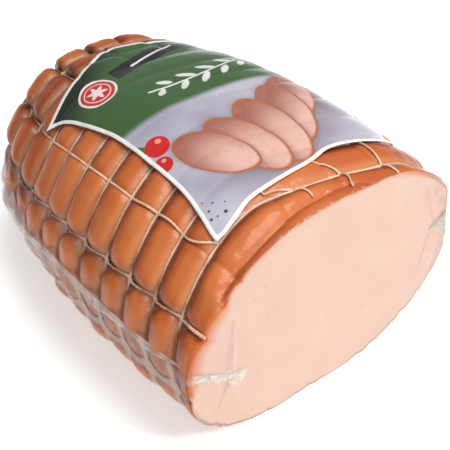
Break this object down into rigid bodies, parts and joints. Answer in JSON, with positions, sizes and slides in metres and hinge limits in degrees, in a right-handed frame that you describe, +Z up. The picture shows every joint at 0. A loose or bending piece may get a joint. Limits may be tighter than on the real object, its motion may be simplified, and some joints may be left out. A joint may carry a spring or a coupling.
{
  "type": "roast turkey breast",
  "caption": "Netted roast turkey breast, cut across to a flat pale face, in a skin-tight clear bag with a sheet label on top.",
  "frame": {"origin": "middle of the footprint, on the surface that the roast lies on", "axes": "+Z up, +Y from the cut face towards the rounded end, +X to the right seen from the cut face"},
  "size_m": [0.1728, 0.2114, 0.107],
  "materials": {
    "roast": "browned, moist skin with a pale pink cut face",
    "net": "undyed cotton cord stained by the roasting juices",
    "label": "coated print in green and lilac grey",
    "film": "clear glossy film, milky where it is folded"
  },
  "bodies": {
    "root": {"roast": "roast", "net": "net", "label": "label", "bag_rim": "film"}
  },
  "joints": []
}
